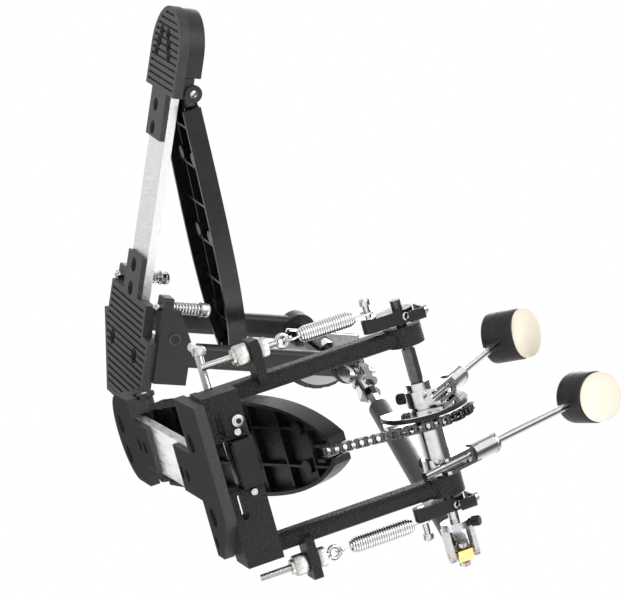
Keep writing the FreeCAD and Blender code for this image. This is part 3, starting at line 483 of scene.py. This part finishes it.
def softBlock(name, size, middle, round_, key, body, place=noTurn):
    bm = bmesh.new()
    bmesh.ops.create_cube(bm, size=1.0)
    bmesh.ops.scale(bm, vec=Vector(size), verts=bm.verts)
    bmesh.ops.bevel(bm, geom=bm.edges, offset=round_, segments=3, affect="EDGES", profile=0.5)
    bmesh.ops.translate(bm, vec=Vector(middle), verts=bm.verts)
    bm.verts.ensure_lookup_table()
    bm.verts.index_update()
    verts = [tuple(v.co) for v in bm.verts]
    faces = [tuple(v.index for v in f.verts) for f in bm.faces]
    bm.free()
    return addPiece(name, verts, faces, key, body, place)


def socketBolt(name, radius, height, key, body, place):
    dip = radius * 0.55
    profile = [(radius * 0.98, 0), (radius, height * 0.2), (radius, height * 0.75), (radius * 0.86, height),
               (dip, height), (dip * 0.96, height * 0.45), (0.05, height * 0.4)]
    return spun(name, profile, key, body, place, 24)


# return springs: close barrel coils with a hook at each end
springSet = {
    "right": {"x": 84.0, "low": 96.0, "top": 140.0, "body": "main_axle"},
    "left": {"x": -80.0, "low": 91.0, "top": 142.0, "body": "left_axle"},
}
springWire = {"y": 4.0, "coil": 5.35, "wire": 0.88, "rise": 1.86, "leg": 6.0, "pin": 154.7}


def coilPath(x, y, low, top, coil, curls, ends):
    points = []
    steps = curls * 20
    for k in range(steps + 1):
        u = k / steps
        edge = min(1.0, min(u, 1 - u) * 8)
        r = coil * (ends + (1 - ends) * math.sin(edge * math.pi / 2))
        a = 2 * math.pi * curls * u
        points.append((x + r * math.sin(a), y + r * math.cos(a), low + (top - low) * u))
    return points


def hookPath(x, y, z, r, flip):
    points = []
    for k in range(13):
        a = math.pi * k / 12
        points.append((x, y - r * math.cos(a), z - flip * r * math.sin(a)))
    return points


for side, spec in springSet.items():
    x, y = spec["x"], springWire["y"]
    r, crest = springWire["coil"], springWire["pin"]
    low = hookPath(x, y, spec["low"] - springWire["leg"], r, 1)
    high = hookPath(x, y, crest - r, r, -1)
    curls = round((spec["top"] - spec["low"]) / springWire["rise"])
    body = coilPath(x, y, spec["low"], spec["top"], r, curls, 0.6)
    path = [(x, y - r, spec["low"] - springWire["leg"] + 2)] + low + body
    path += list(reversed(high)) + [(x, y - r, crest - r - 2)]
    spring = bentWire(side + "ReturnSpring", path, springWire["wire"], "springWire", None)
    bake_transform(spring)
    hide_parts(side + "_spring")
print("return springs wound")

# eyebolts: knurled nuts and threads
nutSet = {"lowR": 8.0, "lowBottom": 43.0, "lowTop": 56.0, "highR": 7.5, "highBottom": 63.0, "highTop": 71.0,
          "bore": 2.6, "around": 144, "ridges": 36, "bite": 0.45}
nutPieces = []
for side, spec in springSet.items():
    x, y = spec["x"], springWire["y"]
    stand = Matrix.Translation((x, y, 0))
    for tag, r, z0, z1 in (("Low", nutSet["lowR"], nutSet["lowBottom"], nutSet["lowTop"]),
                           ("High", nutSet["highR"], nutSet["highBottom"], nutSet["highTop"])):
        t = z1 - z0
        profile = [(nutSet["bore"], z0), (r * 0.72, z0), (r * 0.74, z0 + t * 0.16), (r * 0.93, z0 + t * 0.18),
                   (r, z0 + t * 0.27, 1), (r, z0 + t * 0.86, 1), (r * 0.93, z1 - t * 0.04), (r * 0.8, z1),
                   (nutSet["bore"], z1)]
        nut = spun(side + "Nut" + tag, profile, "nutSteel", "main_frame", stand, nutSet["around"],
                   nutSet["ridges"], nutSet["bite"], loop=True)
        nutPieces.append(nut)
        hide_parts("eyebolt_nuts")
    threaded(side + "EyeThreadLow", 2.45, 0.35, 1.0, 23.5, "chrome", "main_frame",
             Matrix.Translation((x, y, 19.3)))
print("knurled nuts", len(nutPieces))

# side T-screw: thread between post and handle, caps on the handle
tScrew = {"y": -2.0, "z": 21.0, "start": 66.5, "end": 97.0, "half": 13.0}
tKnob = [(3.0, 0), (3.7, 0.5), (3.8, 2.0), (3.3, 2.9), (1.2, 3.2)]
tBoss = [(3.0, 0), (4.4, 0.4), (4.6, 4.0), (4.0, 6.5), (2.0, 7.0)]
threaded("tScrewThread", 2.95, 0.4, 1.25, 26.0, "chrome", "t_screw",
         aimed((tScrew["start"], tScrew["y"], tScrew["z"]), (1, 0, 0)))
for tag, way in (("Front", 1), ("Back", -1)):
    place = aimed((tScrew["end"], tScrew["y"] + way * (tScrew["half"] - 2.5), tScrew["z"]), (0, way, 0))
    spun("tScrewKnob" + tag, tKnob, "chrome", "t_screw", place, 32)
spun("tScrewBoss", tBoss, "chrome", "t_screw",
     aimed((tScrew["end"] - 4.5, tScrew["y"], tScrew["z"]), (1, 0, 0)), 36)
print("T-screw dressed")

# beaters: moulded heads with a seam, domed felt
beaterSet = {
    1: {"x": 10.5, "lean": 48.5, "hub": 9.5, "carrier": "main_axle"},
    2: {"x": -43.0, "lean": 24.0, "hub": 9.8, "carrier": "left_axle"},
}
headSet = {"offset": 13.2, "reach": 147.0, "back": 13.0, "front": 14.0, "r": 20.0, "felt": 13.0}
for number, spec in beaterSet.items():
    tilt = leaned(spec["lean"])
    body = "beater_" + str(number)
    middle = Vector((spec["x"], headSet["offset"], axleMid.z + headSet["reach"]))
    place = tilt @ aimed(middle, (0, 1, 0))
    r, b, f = headSet["r"], headSet["back"], headSet["front"]
    shell = [(0.3, -b), (r - 5.0, -b), (r - 2.2, -b + 0.5), (r - 0.7, -b + 1.8), (r, -b + 4.0), (r, -1.6),
             (r - 0.35, -1.3), (r - 0.35, -0.9), (r, -0.6), (r, f - 1.2), (r - 0.3, f - 0.4), (r - 0.9, f),
             (0.3, f)]
    head = spun("headShell" + str(number), shell, "headBlack", body, place, 72)
    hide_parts(body + "_head")
    dome = [(0.3, f + 0.05), (r - 1.6, f + 0.05), (r - 1.0, f + 0.9), (r - 0.7, f + 2.6), (r - 1.1, f + 5.0)]
    for k in range(1, 10):
        a = k / 9 * math.pi / 2
        dome.append(((r - 1.1) * math.cos(a) + 0.15, f + 5.0 + (headSet["felt"] - 5.0) * math.sin(a)))
    felt = spun("feltDome" + str(number), dome, "felt", body, place, 72)
    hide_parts(body + "_felt")
    keyBolt = [(3.75, 0), (3.75, 3.2), (4.2, 3.6, 1), (4.2, 8.4, 1), (3.7, 9.2), (1.6, 9.4)]
    spot = Vector((spec["x"], -spec["hub"] - 0.6, axleMid.z))
    bolt = spun("keyBolt" + str(number), keyBolt, "boltBlack", spec["carrier"],
                tilt @ aimed(spot, (0, -1, 0)), 96, 24, 0.5)
    collar = [(3.1, 0), (7.7, 0), (7.95, 0.6), (7.95, 2.4), (7.7, 3.0), (3.1, 3.0)]
    spun("socketLip" + str(number), collar, "chrome", spec["carrier"],
         tilt @ Matrix.Translation((spec["x"], headSet["offset"], axleMid.z + 43.4)), 48, loop=True)
print("beaters dressed")

# cam: dark liner round the drum beside the chain
camSet = {"r": 33.0, "skin": 0.7, "x0": -0.8, "x1": 2.4, "back": -12.0}


def camLiner(name, body, place):
    reach = math.acos(camSet["back"] / camSet["r"])
    verts, faces = [], []
    count = 72
    for k in range(count + 1):
        a = -reach + 2 * reach * k / count
        for r, x in ((camSet["r"] + 0.02, camSet["x0"]), (camSet["r"] + camSet["skin"], camSet["x0"] + 0.3),
                     (camSet["r"] + camSet["skin"], camSet["x1"] - 0.3), (camSet["r"] + 0.02, camSet["x1"])):
            verts.append((x, r * math.cos(a), axleMid.z + r * math.sin(a)))
    for k in range(count):
        for j in range(4):
            n = (j + 1) % 4
            faces.append((k * 4 + j, k * 4 + n, k * 4 + 4 + n, k * 4 + 4 + j))
    faces.append((0, 1, 2, 3))
    faces.append(tuple(count * 4 + j for j in range(4)))
    liner = addPiece(name, verts, faces, "boltBlack", body, place)


camLiner("mainCamLiner", "main_axle", noTurn)
camLiner("slaveCamLiner", "slave_axle", slavePlace)
print("cams lined")

# rockers: angle plate and socket bolt on each
rockerSet = {
    "right": {"x": 74.0, "body": "main_axle", "out": 1},
    "left": {"x": -74.0, "body": "left_axle", "out": -1},
}
screwSet = {"y": 4.0, "z": 151.0, "washer": 79.2, "crown": 92.0}
for side, spec in rockerSet.items():
    x, body = spec["x"], spec["body"]
    softBlock(side + "AnglePlate", (8.4, 22.0, 2.2), (x, 8.0, 189.2), 0.6, "boltBlack", body)
    softBlock(side + "AngleLip", (8.4, 2.4, 13.0), (x, 18.4, 183.6), 0.7, "boltBlack", body)
    socketBolt(side + "AngleBolt", 3.6, 4.6, "chrome", body, aimed((x, 9.0, 190.2), (0, 0, 1)))
    socketBolt(side + "RockerBolt", 3.2, 3.2, "chrome", body, aimed((x, 10.6, 176.5), (0, 1, 0)))
    washer = [(2.7, 0), (5.4, 0), (5.6, 0.5), (5.4, 1.1), (2.7, 1.1)]
    outward = (spec["out"], 0, 0)
    seat = (spec["out"] * screwSet["washer"], screwSet["y"], screwSet["z"])
    spun(side + "SpringWasher", washer, "chrome", body, aimed(seat, outward), 40, loop=True)
    crown = [(4.05, 0), (4.1, 1.6), (3.6, 2.8), (2.2, 3.5), (0.2, 3.7)]
    tip = (spec["out"] * screwSet["crown"], screwSet["y"], screwSet["z"])
    spun(side + "SpringScrewCrown", crown, "chrome", body, aimed(tip, outward), 36)
print("rockers dressed")

# cross joints: dark key bolts in both yokes
yokeBolt = [(3.0, -1.0), (3.0, 1.6), (3.9, 2.0, 1), (3.9, 7.4, 1), (3.4, 8.2), (1.5, 8.4)]
yokePlaceB = aimed((-91.2, 7.5, 184.0), (0, 0.64, 0.77))
yokePlaceA = slavePlace @ aimed((71.0, 1.0, 185.6), (0, 0.08, 1))
spun("yokeBoltB", yokeBolt, "boltBlack", "main_frame", yokePlaceB, 96, 24, 0.45)
spun("yokeBoltA", yokeBolt, "boltBlack", "yoke_a", yokePlaceA, 96, 24, 0.45)
print("yoke bolts set")

# hoop clamp: ring bolt on the wall and pin caps beside the jaw
ringBolt = [(1.9, 0), (4.9, 0), (5.0, 0.7), (4.6, 1.5), (3.5, 1.7), (3.3, 2.6), (2.1, 2.7), (1.9, 1.2)]
spun("wallRingBolt", ringBolt, "chrome", "main_frame", aimed((42.6, 24.0, 30.0), (0, 1, 0)), 48, loop=True)
for tag, x in (("Right", 34.6), ("Left", -11.6)):
    socketBolt("jawPinCap" + tag, 2.8, 1.6, "chrome", "main_frame", aimed((x, 23.9, 27.5), (0, 1, 0)))
softBlock("jawPad", (32.0, 22.0, 1.2), (11.5, 18.5, 19.5), 0.5, "boltBlack", "hoop_jaw")
print("hoop clamp dressed")

# slave spurs: threads, acorn heads and open springs
spurSet = {"spots": ((57.0, -38.0), (-50.0, -38.0)), "low": 17.0, "top": 41.0, "coil": 4.7, "curls": 9, "wire": 0.62}
acorn = [(2.9, 0), (6.0, 0), (6.2, 0.7), (5.7, 1.5), (4.4, 2.2), (4.6, 3.4), (5.6, 4.6), (5.75, 6.4), (5.0, 7.8),
         (3.0, 8.7), (0.2, 9.0)]
for number, (x, y) in enumerate(spurSet["spots"], 1):
    coils = coilPath(x, y, spurSet["low"], spurSet["top"], spurSet["coil"], spurSet["curls"], 0.92)
    spring = bentWire("spurSpring" + str(number), coils, spurSet["wire"], "springWire", "slave_frame", slavePlace)
    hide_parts("spur_springs")
    stand = slavePlace @ Matrix.Translation((x, y, 0))
    threaded("spurThread" + str(number), 2.9, 0.35, 1.0, 24.5, "nutSteel", "slave_frame",
             stand @ Matrix.Translation((0, 0, 16.6)))
    spun("spurAcorn" + str(number), acorn, "nutSteel", "slave_frame",
         stand @ Matrix.Translation((0, 0, 41.2)), 48)
eyelet = [(3.4, 0), (5.0, 0), (5.2, 0.5), (4.9, 1.0), (3.6, 1.0)]
eyeletPlace = slavePlace @ aimed((65.5, -14.2, 20.8), (1, 0, 0))
spun("bracketEyelet", eyelet, "tubeGrey", "slave_frame", eyeletPlace, 40, loop=True)
# a near-black disc inside the eyelet: painted shade for the hole
spun("bracketHoleShade", [(3.5, 0.1), (3.5, 0.25), (0.2, 0.25)], "boltBlack", "slave_frame", eyeletPlace, 40)
print("slave spurs dressed")

# heels: arched block on each sole, hinge lug with its pin end on each side
heelSet = {"half": 35.3, "front": -222.7, "side": -240.0, "back": -273.3, "low": 7.8, "top": 21.9, "soft": 1.6}


def heelBlock(name, body, place):
    drop = heelSet["side"] - heelSet["back"]
    radius = (heelSet["half"] ** 2 + drop ** 2) / (2 * drop)
    middle = heelSet["back"] + radius
    reach = math.asin(heelSet["half"] / radius)
    count = 40
    rim = [(-heelSet["half"], heelSet["front"]), (heelSet["half"], heelSet["front"])]
    for k in range(count + 1):
        a = reach - 2 * reach * k / count
        rim.append((radius * math.sin(a), middle - radius * math.cos(a)))
    centre = Vector((0, (heelSet["front"] + heelSet["back"]) / 2))
    soft = heelSet["soft"]
    rows = [(0, heelSet["low"])]
    for k in range(5):
        a = math.pi / 2 * k / 4
        rows.append((soft * (1 - math.cos(a)), heelSet["top"] - soft + soft * math.sin(a)))
    verts = []
    for inset, z in rows:
        for x, y in rim:
            out = (Vector((x, y)) - centre)
            spot = Vector((x, y)) - out.normalized() * inset
            verts.append((spot.x, spot.y, z))
    around = len(rim)
    faces = ringFaces(len(rows), around)
    faces.append(tuple(range((len(rows) - 1) * around, len(rows) * around)))
    faces.append(tuple(range(around)))
    return addPiece(name, verts, faces, "heelBlack", body, place)


hingeLug = [(7.4, 0), (7.4, 2.6), (6.9, 3.2), (3.3, 3.3), (3.2, 2.6), (0.2, 2.6)]
hingeEnd = [(2.9, 2.4), (2.9, 3.3), (2.4, 3.7), (0.2, 3.8)]
for tag, body, place, slotName in (("main", "main_frame", noTurn, "plate_grey"),
                                   ("slave", "slave_frame", slavePlace, "slave_plate_grey")):
    heelBlock(tag + "HeelBlock", body, place)
    for way, side in ((-1, "Left"), (1, "Right")):
        spot = place @ aimed((way * 33.1, -210.0, 17.0), (way, 0, 0))
        spun(tag + "HingeLug" + side, hingeLug, "heelBlack", body, spot, 48)
        spun(tag + "HingePin" + side, hingeEnd, "chrome", body, spot, 32)
print("heels blocked, hinge pins set")

# footboards: rows of grip studs on the tread
boardSet = {"angle": 21.0, "hinge": (0, -210.0, 17.0), "centre": -4.0, "top": 5.5, "first": 30.0, "pitch": 12.0,
            "rows": 15, "half": 31.0, "straight": 165, "taper": 0.45, "gap": 11}
studRing = [(3.1, -0.2), (3.1, 0.15), (2.7, 0.75), (1.9, 0.85), (1.6, 0.5), (0.1, 0.45)]


def treadStuds(name, body, place):
    tilt = Matrix.Translation(boardSet["hinge"]) @ Matrix.Rotation(math.radians(boardSet["angle"]), 4, "X")
    verts, faces = [], []
    around = 20
    for row in range(boardSet["rows"]):
        t = boardSet["first"] + row * boardSet["pitch"]
        half = boardSet["half"] - max(0, t - boardSet["straight"]) * boardSet["taper"]
        count = max(2, int(half * 2 / boardSet["gap"]))
        for k in range(count):
            x = boardSet["centre"] - half + 2 * half * (k + 0.5) / count
            base = len(verts)
            for r, h in studRing:
                for a in range(around):
                    angle = 2 * math.pi * a / around
                    spot = Vector((x + r * math.cos(angle), t + r * math.sin(angle), boardSet["top"] + h))
                    verts.append(tuple(tilt @ spot))
            for face in ringFaces(len(studRing), around):
                faces.append(tuple(base + i for i in face))
            faces.append(tuple(base + (len(studRing) - 1) * around + a for a in range(around)))
    studs = addPiece(name, verts, faces, "boardStud", body, place)


treadStuds("mainTreadStuds", "main_board", noTurn)
treadStuds("slaveTreadStuds", "slave_board", slavePlace)
print("treads studded")
